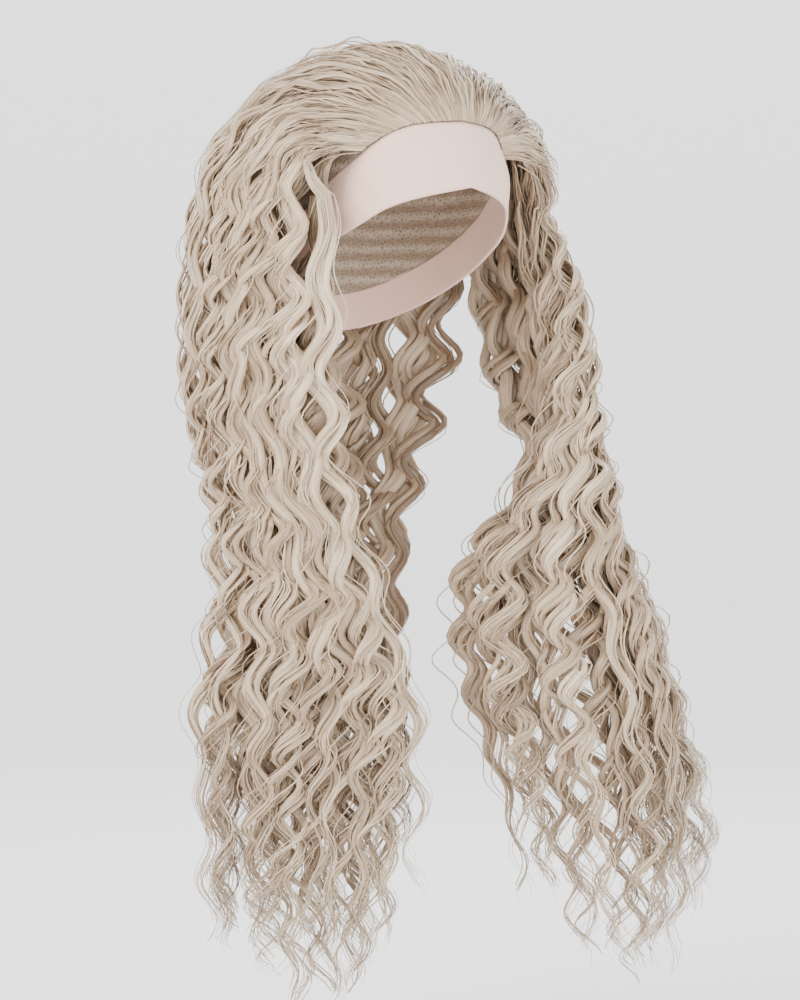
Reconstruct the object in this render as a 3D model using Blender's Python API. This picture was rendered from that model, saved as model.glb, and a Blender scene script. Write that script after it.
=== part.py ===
"""Half wig: a wide stretch headband, a thin cap and long waved hair combed back from the band.

Metres, +Z up. The wearer faces -Y, and their right is -X. The origin is the point inside the
top of the cap that rests on the crown of the head.
"""

import math
from collections import namedtuple

import bmesh
import bpy
from mathutils import Vector

# The head that the wig fits, down from its crown
HEAD_HALF_WIDTH = 0.0735
HEAD_HALF_DEPTH = 0.0915
HEAD_DOME_HEIGHT = 0.095
NAPE_DROP = 0.090
NAPE_TAPER = 0.10
HEAD_SEGMENTS = 40

# The cloth
CLOTH_WALL = 0.0016
PIECE_GAP = 0.0003

# The headband
BAND_HEIGHT = 0.050
BAND_FRONT_DROP = 0.070
BAND_NAPE_DROP = 0.172
BAND_CREASE = 0.0008
BAND_CREASE_TURN = 50.0
BAND_CREASE_SPREAD = 16.0
BAND_CREASE_COUNT = 2.0
BAND_STEPS = 4

# The cap
CAP_STEPS = 6

# The hair: how far it stands off the head, its length and its thickness
HAIR_SIDE_VOLUME = 0.0585
HAIR_BACK_VOLUME = 0.0405
HAIR_CROWN_VOLUME = 0.018
CROWN_BACK_SHIFT = 0.012
HAIR_LENGTH = 0.550
HAIR_THICKNESS = 0.030
HAIR_CLEARANCE = 0.0022
HAIR_SEAM_DROP = 0.100
SIDE_INSET = 0.010

# The hairline along the band's upper edge
HAIRLINE_TURN = 55.0
HAIRLINE_RISE = 0.003
ROOT_THICKNESS_SHARE = 0.32
CROWN_FAN = 76.0

# The locks and their waves
LOCK_STEPS = 3
LOCK_RELIEF = 0.0055
WAVE_PERIOD = 0.052
WAVE_REACH = 0.0085
WAVE_REACH_ROOT = 0.0022
WAVE_GROWTH_LENGTH = 0.250
WAVE_DEPTH_SHARE = 0.5
PHASE_STEP = 0.30
SPLIT_WIDTH = 0.84
TIP_WIDTH = 0.14
TIP_THICKNESS = 0.22
CROWN_ROWS = 9
FUSED_ROWS = 22
FREE_ROWS = 18

# Small steps for finding directions on the hair's surface
PLACE_STEP = 0.01
FALL_STEP = 0.004

# Rows of the band from the forehead to the nape: the turn from the front in degrees, how far
# it has gone down from forehead to nape, and its height as a share of BAND_HEIGHT
BandRow = namedtuple("BandRow", "turn fall height")
BAND_ROWS = (
    BandRow(turn=0, fall=0.00, height=0.91),
    BandRow(turn=30, fall=0.06, height=1.01),
    BandRow(turn=45, fall=0.13, height=1.00),
    BandRow(turn=60, fall=0.26, height=0.94),
    BandRow(turn=75, fall=0.39, height=0.82),
    BandRow(turn=90, fall=0.54, height=0.70),
    BandRow(turn=120, fall=0.78, height=0.60),
    BandRow(turn=150, fall=0.94, height=0.54),
    BandRow(turn=180, fall=1.00, height=0.52),
)

# Sections of the falling hair: the share of the length fallen, then the outer surface's front
# edge, middle and rear edge, across as shares of the hair's half width and along as shares of
# its half depth, and its thickness as a share of HAIR_THICKNESS
Section = namedtuple("Section", "fall front_x front_y middle_x middle_y rear_x rear_y depth")
RIGHT_SECTIONS = (
    Section(0.000, 0.730, -0.455, 1.000, 0.060, 0.894, 0.500, 1.00),
    Section(0.090, 0.758, -0.470, 1.060, 0.030, 0.970, 0.485, 1.05),
    Section(0.236, 0.758, -0.462, 1.076, 0.000, 0.992, 0.455, 1.10),
    Section(0.345, 0.697, -0.500, 1.038, -0.167, 0.992, 0.258, 1.10),
    Section(0.418, 0.591, -0.545, 1.000, -0.340, 1.060, 0.090, 1.05),
    Section(0.527, 0.440, -0.620, 0.955, -0.500, 1.150, 0.000, 1.00),
    Section(0.618, 0.318, -0.667, 0.940, -0.560, 1.303, -0.045, 1.00),
    Section(0.780, 0.303, -0.680, 0.940, -0.590, 1.273, -0.060, 0.90),
    Section(0.873, 0.340, -0.680, 0.924, -0.606, 1.273, -0.076, 0.80),
    Section(1.000, 0.530, -0.667, 0.870, -0.590, 1.136, -0.114, 0.70),
)
LEFT_SECTIONS = (
    Section(0.000, 0.730, -0.455, 1.000, 0.060, 0.894, 0.500, 1.00),
    Section(0.090, 0.758, -0.470, 1.060, -0.210, 0.985, 0.417, 1.05),
    Section(0.236, 0.740, -0.460, 1.076, -0.380, 1.045, 0.265, 1.10),
    Section(0.345, 0.450, -0.440, 0.940, -0.650, 1.136, -0.136, 1.10),
    Section(0.418, 0.150, -0.480, 0.850, -0.742, 1.250, -0.300, 1.05),
    Section(0.527, 0.000, -0.530, 0.894, -0.833, 1.410, -0.440, 1.00),
    Section(0.618, 0.030, -0.545, 0.970, -0.894, 1.515, -0.470, 1.00),
    Section(0.780, 0.273, -0.590, 1.060, -0.940, 1.667, -0.644, 0.90),
    Section(0.873, 0.340, -0.606, 1.076, -0.940, 1.630, -0.644, 0.80),
    Section(1.000, 0.570, -0.644, 1.060, -0.870, 1.440, -0.644, 0.70),
)
BACK_SECTIONS = (
    Section(0.000, -0.894, 0.500, 0.000, 1.000, 0.894, 0.500, 1.00),
    Section(0.090, -0.930, 0.530, 0.000, 1.030, 0.930, 0.530, 1.05),
    Section(0.236, -0.860, 0.600, 0.000, 1.030, 0.860, 0.600, 1.10),
    Section(0.345, -0.740, 0.660, 0.000, 0.980, 0.740, 0.660, 1.10),
    Section(0.418, -0.650, 0.700, 0.000, 0.950, 0.650, 0.700, 1.05),
    Section(0.618, -0.610, 0.740, 0.000, 0.930, 0.610, 0.740, 1.00),
    Section(0.780, -0.620, 0.750, 0.000, 0.930, 0.620, 0.750, 0.90),
    Section(1.000, -0.580, 0.760, 0.000, 0.920, 0.580, 0.760, 0.70),
)

# Each falling mass: its side, the share across at its first and last lock, the share of the
# length at which its locks come apart, and the share at which each lock ends
Mass = namedtuple("Mass", "name side sections first last split tips")
RIGHT = Mass("right_hair", -1, RIGHT_SECTIONS, 0, 1, 0.52, (0.93, 0.97, 0.995, 1.0, 0.965, 0.94))
BACK = Mass("back_hair", 1, BACK_SECTIONS, 0, 1, 0.55, (0.92, 0.95, 0.965, 0.955, 0.925))
LEFT = Mass("left_hair", 1, LEFT_SECTIONS, 1, 0, 0.50, (0.88, 0.93, 0.965, 0.985, 0.97, 0.89))
MASSES = (RIGHT, BACK, LEFT)

# Colour and roughness of each material
Finish = namedtuple("Finish", "colour roughness")
BLUSH_CLOTH = Finish((0.80, 0.66, 0.62, 1.0), 0.85)
CAP_CLOTH = Finish((0.62, 0.53, 0.43, 1.0), 0.90)
ASH_BLONDE = Finish((0.50, 0.41, 0.31, 1.0), 0.50)


def clear_scene():
    for item in list(bpy.data.objects):
        bpy.data.objects.remove(item, do_unlink=True)


def hair_half_width():
    return HEAD_HALF_WIDTH + HAIR_SIDE_VOLUME


def hair_half_depth():
    return HEAD_HALF_DEPTH + HAIR_BACK_VOLUME


def lock_count():
    return sum(len(mass.tips) for mass in MASSES)


def blend(low, high, share):
    return low + (high - low) * share


def eased(share):
    share = min(max(share, 0.0), 1.0)
    return share * share * (3.0 - 2.0 * share)


def read_table(rows, key, at, column):
    """The value of a column at any value of the key, on a smooth curve through the rows."""
    keys = [getattr(row, key) for row in rows]
    values = [getattr(row, column) for row in rows]
    at = min(max(at, keys[0]), keys[-1])
    low = max(index for index in range(len(keys) - 1) if keys[index] <= at)
    span = keys[low + 1] - keys[low]
    share = (at - keys[low]) / span
    slopes = []
    for index in (low, low + 1):
        before = max(index - 1, 0)
        after = min(index + 1, len(keys) - 1)
        slopes.append((values[after] - values[before]) / (keys[after] - keys[before]) * span)
    square = share * share
    cube = square * share
    from_values = values[low] * (2 * cube - 3 * square + 1) + values[low + 1] * (3 * square - 2 * cube)
    from_slopes = slopes[0] * (cube - 2 * square + share) + slopes[1] * (cube - square)
    return from_values + from_slopes


def add_mesh(name, mesh_data, finish):
    """The closed mesh as an object of its own, with its normals out and its material."""
    bmesh.ops.recalc_face_normals(mesh_data, faces=mesh_data.faces)
    mesh = bpy.data.meshes.new(name)
    mesh_data.to_mesh(mesh)
    mesh_data.free()
    mesh.shade_smooth()
    mesh.set_sharp_from_angle(angle=math.radians(50))
    material = bpy.data.materials.new(name + "_material")
    material.use_nodes = True
    shader = material.node_tree.nodes["Principled BSDF"]
    shader.inputs["Base Color"].default_value = finish.colour
    shader.inputs["Roughness"].default_value = finish.roughness
    shader.inputs["Metallic"].default_value = 0.0
    mesh.materials.append(material)
    item = bpy.data.objects.new(name, mesh)
    bpy.context.scene.collection.objects.link(item)
    return item


# The head's surface


def head_reach(level, offset):
    """The share of the full section that the head fills at a level, offset outwards."""
    rise = level + HEAD_DOME_HEIGHT
    if rise < 0:
        return 1.0 - NAPE_TAPER * (rise / NAPE_DROP) ** 2
    return math.sqrt(max(0.0, 1.0 - (rise / (HEAD_DOME_HEIGHT + offset)) ** 2))


def head_point(turn, level, offset):
    """A point that stands off the head by the offset, at a turn in degrees from the front."""
    angle = math.radians(turn)
    reach = head_reach(level, offset)
    across = (HEAD_HALF_WIDTH + offset) * reach * math.sin(angle)
    along = (HEAD_HALF_DEPTH + offset) * reach * -math.cos(angle)
    return Vector((across, along, level))


def dome_point(direction, offset):
    """A point that stands off the head's dome by the offset, in a direction from its centre."""
    return Vector((
        (HEAD_HALF_WIDTH + offset) * direction.x,
        (HEAD_HALF_DEPTH + offset) * direction.y,
        (HEAD_DOME_HEIGHT + offset) * direction.z - HEAD_DOME_HEIGHT,
    ))


def outside_head(point, offset):
    """The point, moved straight out where it would lie nearer the head than the offset."""
    reach = max(head_reach(point.z, offset), 0.01)
    share = math.hypot(
        point.x / ((HEAD_HALF_WIDTH + offset) * reach),
        point.y / ((HEAD_HALF_DEPTH + offset) * reach),
    )
    if share >= 1.0 or share == 0.0:
        return point
    return Vector((point.x / share, point.y / share, point.z))


# The headband


def band_edges(turn):
    """The levels of the band's lower and upper edge at a turn from the front."""
    away = abs((turn + 180.0) % 360.0 - 180.0)
    fall = read_table(BAND_ROWS, "turn", away, "fall")
    height = read_table(BAND_ROWS, "turn", away, "height") * BAND_HEIGHT
    centre = -blend(BAND_FRONT_DROP, BAND_NAPE_DROP, fall)
    return centre - height / 2, centre + height / 2


def band_crease(turn, rise):
    """How far the stretched cloth puckers outwards near the temples."""
    away = abs((turn + 180.0) % 360.0 - 180.0)
    near = math.exp(-(((away - BAND_CREASE_TURN) / BAND_CREASE_SPREAD) ** 2))
    slant = (away - BAND_CREASE_TURN) / BAND_CREASE_SPREAD - rise
    return BAND_CREASE * near * (0.5 + 0.5 * math.cos(math.pi * BAND_CREASE_COUNT * slant))


def build_headband():
    mesh_data = bmesh.new()
    rings = []
    for segment in range(HEAD_SEGMENTS):
        turn = 360.0 * segment / HEAD_SEGMENTS
        low, high = band_edges(turn)
        ring = []
        for step in range(BAND_STEPS + 1):
            rise = step / BAND_STEPS
            offset = band_crease(turn, rise) * math.sin(math.pi * rise)
            ring.append(head_point(turn, blend(low, high, rise), CLOTH_WALL + offset))
        for step in reversed(range(BAND_STEPS + 1)):
            rise = step / BAND_STEPS
            offset = band_crease(turn, rise) * math.sin(math.pi * rise)
            ring.append(head_point(turn, blend(low, high, rise), offset))
        rings.append([mesh_data.verts.new(point) for point in ring])
    for segment in range(HEAD_SEGMENTS):
        here = rings[segment]
        there = rings[(segment + 1) % HEAD_SEGMENTS]
        for index in range(len(here)):
            following = (index + 1) % len(here)
            mesh_data.faces.new((here[index], there[index], there[following], here[following]))
    return add_mesh("headband", mesh_data, BLUSH_CLOTH)


# The cap


def cap_rim(turn):
    """The level of the cap's rim, which meets the band's upper edge."""
    return band_edges(turn)[1] + PIECE_GAP


def cap_level(turn, share, offset):
    """The level on the cap at a share of the way from its top to its rim."""
    rise = cap_rim(turn) + HEAD_DOME_HEIGHT
    height = HEAD_DOME_HEIGHT + offset
    if rise >= 0:
        return height * math.cos(math.acos(rise / height) * share) - HEAD_DOME_HEIGHT
    bend = (math.pi / 2 - rise / HEAD_DOME_HEIGHT) * share
    if bend <= math.pi / 2:
        return height * math.cos(bend) - HEAD_DOME_HEIGHT
    return (math.pi / 2 - bend) * HEAD_DOME_HEIGHT - HEAD_DOME_HEIGHT


def build_cap():
    mesh_data = bmesh.new()
    rims = []
    for offset in (0.0, CLOTH_WALL):
        top = mesh_data.verts.new((0.0, 0.0, offset))
        rings = []
        for step in range(1, CAP_STEPS + 1):
            ring = []
            for segment in range(HEAD_SEGMENTS):
                turn = 360.0 * segment / HEAD_SEGMENTS
                level = cap_level(turn, step / CAP_STEPS, offset)
                ring.append(mesh_data.verts.new(head_point(turn, level, offset)))
            rings.append(ring)
        for segment in range(HEAD_SEGMENTS):
            following = (segment + 1) % HEAD_SEGMENTS
            mesh_data.faces.new((top, rings[0][segment], rings[0][following]))
            for here, below in zip(rings, rings[1:]):
                mesh_data.faces.new((here[segment], below[segment], below[following], here[following]))
        rims.append(rings[-1])
    inner, outer = rims
    for segment in range(HEAD_SEGMENTS):
        following = (segment + 1) % HEAD_SEGMENTS
        mesh_data.faces.new((inner[segment], outer[segment], outer[following], inner[following]))
    return add_mesh("wig_cap", mesh_data, CAP_CLOTH)


# The falling hair


def section_point(mass, place, fall):
    """The outer surface at a place across the mass, 0 to 1, and a share of the length."""
    share = blend(mass.first, mass.last, place)
    front = 2 * (share - 0.5) * (share - 1)
    middle = 4 * share * (1 - share)
    rear = 2 * share * (share - 0.5)
    at = {}
    for column in Section._fields[1:7]:
        at[column] = read_table(mass.sections, "fall", fall, column)
    across = front * at["front_x"] + middle * at["middle_x"] + rear * at["rear_x"]
    along = front * at["front_y"] + middle * at["middle_y"] + rear * at["rear_y"]
    level = -HAIR_SEAM_DROP - fall * HAIR_LENGTH
    return Vector((across * mass.side * hair_half_width(), along * hair_half_depth(), level))


def section_frame(mass, place, fall):
    """The outer surface there, with its sideways and its outward direction."""
    point = section_point(mass, place, fall)
    right = section_point(mass, place + PLACE_STEP, fall) - section_point(mass, place - PLACE_STEP, fall)
    down = section_point(mass, place, fall + FALL_STEP) - section_point(mass, place, fall - FALL_STEP)
    sideways = right.normalized()
    return point, sideways, sideways.cross(down).normalized()


def wave(lock, distance):
    """How far a lock swings sideways and outwards at a distance below the seam."""
    grown = eased((distance + HAIR_SEAM_DROP) / WAVE_GROWTH_LENGTH)
    reach = blend(WAVE_REACH_ROOT, WAVE_REACH, grown)
    turn = 2 * math.pi * distance / WAVE_PERIOD + lock * PHASE_STEP
    return reach * math.sin(turn), reach * WAVE_DEPTH_SHARE * math.cos(turn)


def lock_relief(share):
    """The lock's rounded back: nothing in the valleys at its sides, and full between them."""
    return LOCK_RELIEF * math.sin(math.pi * share) / math.sin(math.pi / LOCK_STEPS)


def mass_corner(mass, first_lock, lock, share, fall, width, thickness):
    """The outer and the inner corner of a lock at a share of its width."""
    count = len(mass.tips)
    place = (lock + 0.5 + (share - 0.5) * width) / count
    place = blend(SIDE_INSET, 1 - SIDE_INSET, place)
    point, sideways, outward = section_frame(mass, place, fall)
    swing, lift = wave(first_lock + lock + share, fall * HAIR_LENGTH)
    depth = HAIR_THICKNESS * read_table(mass.sections, "fall", fall, "depth") * thickness
    middle = point - outward * HAIR_THICKNESS * (1 - thickness) / 2
    outer = middle + sideways * swing + outward * (lift + lock_relief(share) * thickness)
    inner = middle + sideways * swing + outward * (lift - depth)
    return outer, outside_head(inner, CLOTH_WALL + HAIR_CLEARANCE)


def mass_row(mass, lock, row):
    """The share of the length, the width and the thickness of a lock at a row."""
    if row <= FUSED_ROWS:
        return mass.split * row / FUSED_ROWS, 1.0, 1.0
    share = (row - FUSED_ROWS) / FREE_ROWS
    fall = blend(mass.split, mass.tips[lock], share)
    narrowing = share ** 1.6
    return fall, blend(SPLIT_WIDTH, TIP_WIDTH, narrowing), blend(1.0, TIP_THICKNESS, narrowing)


def build_mass(mass, first_lock):
    mesh_data = bmesh.new()
    corners = {}

    def corner(lock, step, row, side):
        key = (lock * LOCK_STEPS + step, row, side)
        if row > FUSED_ROWS:
            key = (lock, step, row, side)
        if key not in corners:
            fall, width, thickness = mass_row(mass, lock, row)
            share = step / LOCK_STEPS
            pair = mass_corner(mass, first_lock, lock, share, fall, width, thickness)
            point = pair[side].copy()
            if row == 0:
                point.z = -HAIR_SEAM_DROP - PIECE_GAP
            corners[key] = mesh_data.verts.new(point)
        return corners[key]

    count = len(mass.tips)
    last_row = FUSED_ROWS + FREE_ROWS
    for lock in range(count):
        for row in range(last_row):
            for step in range(LOCK_STEPS):
                mesh_data.faces.new((
                    corner(lock, step, row, 0),
                    corner(lock, step, row + 1, 0),
                    corner(lock, step + 1, row + 1, 0),
                    corner(lock, step + 1, row, 0),
                ))
            mesh_data.faces.new((
                corner(lock, 0, row, 1),
                corner(lock, LOCK_STEPS, row, 1),
                corner(lock, LOCK_STEPS, row + 1, 1),
                corner(lock, 0, row + 1, 1),
            ))
            free = row >= FUSED_ROWS
            for step, at_end in ((0, lock == 0), (LOCK_STEPS, lock == count - 1)):
                if free or at_end:
                    mesh_data.faces.new((
                        corner(lock, step, row, 0),
                        corner(lock, step, row, 1),
                        corner(lock, step, row + 1, 1),
                        corner(lock, step, row + 1, 0),
                    ))
        for row in (0, last_row):
            rim = [corner(lock, step, row, 0) for step in range(LOCK_STEPS + 1)]
            rim.append(corner(lock, LOCK_STEPS, row, 1))
            rim.append(corner(lock, 0, row, 1))
            mesh_data.faces.new(rim)
    return add_mesh(mass.name, mesh_data, ASH_BLONDE)


# The hair over the crown


def crown_directions(lock):
    """The directions from the dome's centre at a lock's root, half way and at the seam."""
    across = 2 * lock / lock_count() - 1
    turn = math.radians(HAIRLINE_TURN * across)
    level = band_edges(HAIRLINE_TURN * across)[1] + HAIRLINE_RISE
    reach = head_reach(level, CLOTH_WALL)
    rise = (level + HEAD_DOME_HEIGHT) / (HEAD_DOME_HEIGHT + CLOTH_WALL)
    root = Vector((math.sin(turn) * reach, -math.cos(turn) * reach, rise))
    fan = math.radians(CROWN_FAN * across)
    half_way = Vector((math.sin(fan), 0.1 - 0.65 * math.sin(abs(fan)) ** 4, math.cos(fan)))
    seam = seam_point(lock)
    end = Vector((
        seam.x / hair_half_width(),
        (seam.y - CROWN_BACK_SHIFT) / (hair_half_depth() - CROWN_BACK_SHIFT),
        0.0,
    ))
    return root.normalized(), half_way.normalized(), end.normalized()


def seam_place(lock):
    """The mass that a lock of the crown runs into, and the place across it."""
    for mass in MASSES[:-1]:
        if lock <= len(mass.tips):
            return mass, lock / len(mass.tips)
        lock -= len(mass.tips)
    return MASSES[-1], lock / len(MASSES[-1].tips)


def seam_point(lock):
    mass, place = seam_place(lock)
    return section_point(mass, place, 0.0)


def crown_base(lock, share):
    """The crown hair's outer and inner surface, from the hairline (0) to the seam (1)."""
    root, half_way, end = crown_directions(lock)
    direction = root * (1 - share) ** 2 + half_way * 2 * share * (1 - share) + end * share ** 2
    direction = direction.normalized()
    on_cap = dome_point(direction, CLOTH_WALL)
    full = Vector((
        hair_half_width() * direction.x,
        (hair_half_depth() - CROWN_BACK_SHIFT) * direction.y + CROWN_BACK_SHIFT,
        (HAIR_SEAM_DROP + HAIR_CROWN_VOLUME) * direction.z - HAIR_SEAM_DROP,
    ))
    filled = blend(ROOT_THICKNESS_SHARE, 1.0, eased(share / 0.45))
    outer = on_cap.lerp(full, filled).lerp(seam_point(lock), share ** 4)
    inner = dome_point(direction, CLOTH_WALL + HAIR_CLEARANCE)
    return outer, inner


def crown_corner(lock, valley_share, share):
    """The outer and the inner corner of the crown hair, with the lock's back and its wave."""
    outer, inner = crown_base(lock, share)
    right = crown_base(lock + PLACE_STEP, share)[0] - crown_base(lock - PLACE_STEP, share)[0]
    down = crown_base(lock, share + FALL_STEP)[0] - crown_base(lock, share - FALL_STEP)[0]
    sideways = right.normalized()
    outward = sideways.cross(down).normalized()
    distance = (share - 1) * (HEAD_HALF_DEPTH + HEAD_DOME_HEIGHT)
    swing, lift = wave(lock, distance)
    shown = eased(share / 0.3)
    relief = lock_relief(valley_share) * blend(0.35, 1.0, shown)
    outer = outer + sideways * swing * shown + outward * (relief + lift * shown)
    if share < 1:
        return outer, inner
    mass, place = seam_place(lock)
    point, sideways, outward = section_frame(mass, place, 0.0)
    under = point + sideways * swing + outward * (lift - HAIR_THICKNESS)
    return outer, outside_head(under, CLOTH_WALL + HAIR_CLEARANCE)


def build_crown():
    mesh_data = bmesh.new()
    columns = []
    for index in range(lock_count() * LOCK_STEPS + 1):
        lock = index / LOCK_STEPS
        column = []
        for row in range(CROWN_ROWS + 1):
            outer, inner = crown_corner(lock, index % LOCK_STEPS / LOCK_STEPS, row / CROWN_ROWS)
            if row == CROWN_ROWS:
                outer.z = -HAIR_SEAM_DROP
                inner.z = -HAIR_SEAM_DROP
            column.append((mesh_data.verts.new(outer), mesh_data.verts.new(inner)))
        columns.append(column)
    for here, there in zip(columns, columns[1:]):
        for row in range(CROWN_ROWS):
            for side in (0, 1):
                mesh_data.faces.new((
                    here[row][side],
                    here[row + 1][side],
                    there[row + 1][side],
                    there[row][side],
                ))
        for row in (0, CROWN_ROWS):
            mesh_data.faces.new((here[row][0], here[row][1], there[row][1], there[row][0]))
    for column in (columns[0], columns[-1]):
        for above, below in zip(column, column[1:]):
            mesh_data.faces.new((above[0], above[1], below[1], below[0]))
    return add_mesh("crown_hair", mesh_data, ASH_BLONDE)


def main():
    clear_scene()
    build_headband()
    build_cap()
    build_crown()
    first_lock = 0
    for mass in MASSES:
        build_mass(mass, first_lock)
        first_lock += len(mass.tips)


main()
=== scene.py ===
"""Looks of a half wig: waved ash blonde hair combed back from a wide blush headband."""

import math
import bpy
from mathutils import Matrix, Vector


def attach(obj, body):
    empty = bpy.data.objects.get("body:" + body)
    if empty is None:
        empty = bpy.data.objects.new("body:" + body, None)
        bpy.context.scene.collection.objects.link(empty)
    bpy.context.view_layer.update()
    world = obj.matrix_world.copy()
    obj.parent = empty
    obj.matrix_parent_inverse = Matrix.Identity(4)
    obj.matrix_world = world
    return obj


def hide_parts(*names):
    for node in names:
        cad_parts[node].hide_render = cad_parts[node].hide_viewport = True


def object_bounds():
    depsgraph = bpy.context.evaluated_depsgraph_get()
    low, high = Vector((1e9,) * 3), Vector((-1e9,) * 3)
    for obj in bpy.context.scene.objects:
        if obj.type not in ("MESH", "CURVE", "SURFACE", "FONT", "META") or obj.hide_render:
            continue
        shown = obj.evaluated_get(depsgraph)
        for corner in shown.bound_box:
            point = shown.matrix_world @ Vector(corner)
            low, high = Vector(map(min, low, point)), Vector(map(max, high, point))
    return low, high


bl_info = {
    "name": "Half Wig",
    "version": (1, 0, 0),
    "blender": (4, 5, 0),
    "location": "3D View > Sidebar > Half Wig",
    "description": "Dresses the solids of a half wig with swept hair, stretch cloth and a studio",
    "category": "Object",
}

import bpy
import numpy as np
from mathutils import Vector

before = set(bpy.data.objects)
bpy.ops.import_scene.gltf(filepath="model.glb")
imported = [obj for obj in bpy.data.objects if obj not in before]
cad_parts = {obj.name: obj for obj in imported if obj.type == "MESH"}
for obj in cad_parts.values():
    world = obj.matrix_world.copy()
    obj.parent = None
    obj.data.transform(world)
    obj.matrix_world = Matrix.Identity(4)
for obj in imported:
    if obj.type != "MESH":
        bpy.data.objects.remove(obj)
CAD_BOX = [list(corner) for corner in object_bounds()]

# The head, as the solids have it
CLOTH_WALL = 0.0016
HEAD_HALF_WIDTH = 0.0735
HEAD_HALF_DEPTH = 0.0915
HEAD_DOME_HEIGHT = 0.095
NAPE_DROP = 0.090
NAPE_TAPER = 0.10

# The hair's form, as the solids have it
HAIR_HALF_WIDTH = 0.132
HAIR_HALF_DEPTH = 0.132
HAIR_CROWN_VOLUME = 0.018
CROWN_BACK_SHIFT = 0.012
HAIR_LENGTH = 0.550
HAIR_THICKNESS = 0.030
HAIR_CLEARANCE = 0.0022
HAIR_SEAM_DROP = 0.100
HAIRLINE_TURN = 55.0
HAIRLINE_RISE = 0.001
ROOT_THICKNESS_SHARE = 0.32
CROWN_FAN = 76.0

# The headband's rows: turn from the front, share of the way down to the nape, share of height
BAND_HEIGHT = 0.050
BAND_FRONT_DROP = 0.070
BAND_NAPE_DROP = 0.172
BAND_ROWS = np.array((
    (0, 0.00, 0.91),
    (30, 0.06, 1.01),
    (45, 0.13, 1.00),
    (60, 0.26, 0.94),
    (75, 0.39, 0.82),
    (90, 0.54, 0.70),
    (120, 0.78, 0.60),
    (150, 0.94, 0.54),
    (180, 1.00, 0.52),
))

# Sections of the falling hair: share of the length, then the front edge, middle and rear edge
# as shares of the half width and half depth, and the share of the thickness
RIGHT_SECTIONS = np.array((
    (0.000, 0.730, -0.455, 1.000, 0.060, 0.894, 0.500, 1.00),
    (0.090, 0.758, -0.470, 1.060, 0.030, 0.970, 0.485, 1.05),
    (0.236, 0.758, -0.462, 1.076, 0.000, 0.992, 0.455, 1.10),
    (0.345, 0.697, -0.500, 1.038, -0.167, 0.992, 0.258, 1.10),
    (0.418, 0.591, -0.545, 1.000, -0.340, 1.060, 0.090, 1.05),
    (0.527, 0.440, -0.620, 0.955, -0.500, 1.150, 0.000, 1.00),
    (0.618, 0.318, -0.667, 0.940, -0.560, 1.303, -0.045, 1.00),
    (0.780, 0.303, -0.680, 0.940, -0.590, 1.273, -0.060, 0.90),
    (0.873, 0.340, -0.680, 0.924, -0.606, 1.273, -0.076, 0.80),
    (1.000, 0.530, -0.667, 0.870, -0.590, 1.136, -0.114, 0.70),
))
LEFT_SECTIONS = np.array((
    (0.000, 0.730, -0.455, 1.000, 0.060, 0.894, 0.500, 1.00),
    (0.090, 0.758, -0.470, 1.060, -0.210, 0.985, 0.417, 1.05),
    (0.236, 0.740, -0.460, 1.076, -0.380, 1.045, 0.265, 1.10),
    (0.345, 0.450, -0.440, 0.940, -0.650, 1.136, -0.136, 1.10),
    (0.418, 0.150, -0.480, 0.850, -0.742, 1.250, -0.300, 1.05),
    (0.527, 0.000, -0.530, 0.894, -0.833, 1.410, -0.440, 1.00),
    (0.618, 0.030, -0.545, 0.970, -0.894, 1.515, -0.470, 1.00),
    (0.780, 0.273, -0.590, 1.060, -0.940, 1.667, -0.644, 0.90),
    (0.873, 0.340, -0.606, 1.076, -0.940, 1.630, -0.644, 0.80),
    (1.000, 0.570, -0.644, 1.060, -0.870, 1.440, -0.644, 0.70),
))
BACK_SECTIONS = np.array((
    (0.000, -0.894, 0.500, 0.000, 1.000, 0.894, 0.500, 1.00),
    (0.090, -0.930, 0.530, 0.000, 1.030, 0.930, 0.530, 1.05),
    (0.236, -0.860, 0.600, 0.000, 1.030, 0.860, 0.600, 1.10),
    (0.345, -0.740, 0.660, 0.000, 0.980, 0.740, 0.660, 1.10),
    (0.418, -0.650, 0.700, 0.000, 0.950, 0.650, 0.700, 1.05),
    (0.618, -0.610, 0.740, 0.000, 0.930, 0.610, 0.740, 1.00),
    (0.780, -0.620, 0.750, 0.000, 0.930, 0.620, 0.750, 0.90),
    (1.000, -0.580, 0.760, 0.000, 0.920, 0.580, 0.760, 0.70),
))


class Fall:
    """One falling mass of hair: where its locks run and end."""

    def __init__(self, name, side, sections, first, last, first_lock, tips, seed):
        self.name = name
        self.side = side
        self.sections = sections
        self.first = first
        self.last = last
        self.first_lock = first_lock
        self.tips = tips
        self.seed = seed


RIGHT = Fall("right_hair", -1, RIGHT_SECTIONS, 0, 1, 0, (0.93, 0.97, 0.995, 1.0, 0.965, 0.94), 11)
BACK = Fall("back_hair", 1, BACK_SECTIONS, 0, 1, 6, (0.92, 0.95, 0.965, 0.955, 0.925), 23)
LEFT = Fall("left_hair", 1, LEFT_SECTIONS, 1, 0, 11, (0.88, 0.93, 0.965, 0.985, 0.97, 0.89), 37)
FALLS = (RIGHT, BACK, LEFT)
LOCK_COUNT = sum(len(fall.tips) for fall in FALLS)

# How finely a mass's surface is worked out before strands are laid on it
PLACES = 31
CROWN_ROWS = 24
FALL_ROWS = 80

# The waves
WAVE_PERIOD = 0.050
WAVE_REACH = 0.0085
WAVE_REACH_ROOT = 0.0026
WAVE_GROWTH_LENGTH = 0.250
WAVE_DEPTH_SHARE = 0.65
WAVE_MIDDLE = 0.22
PHASE_STEP = 0.30

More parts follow.
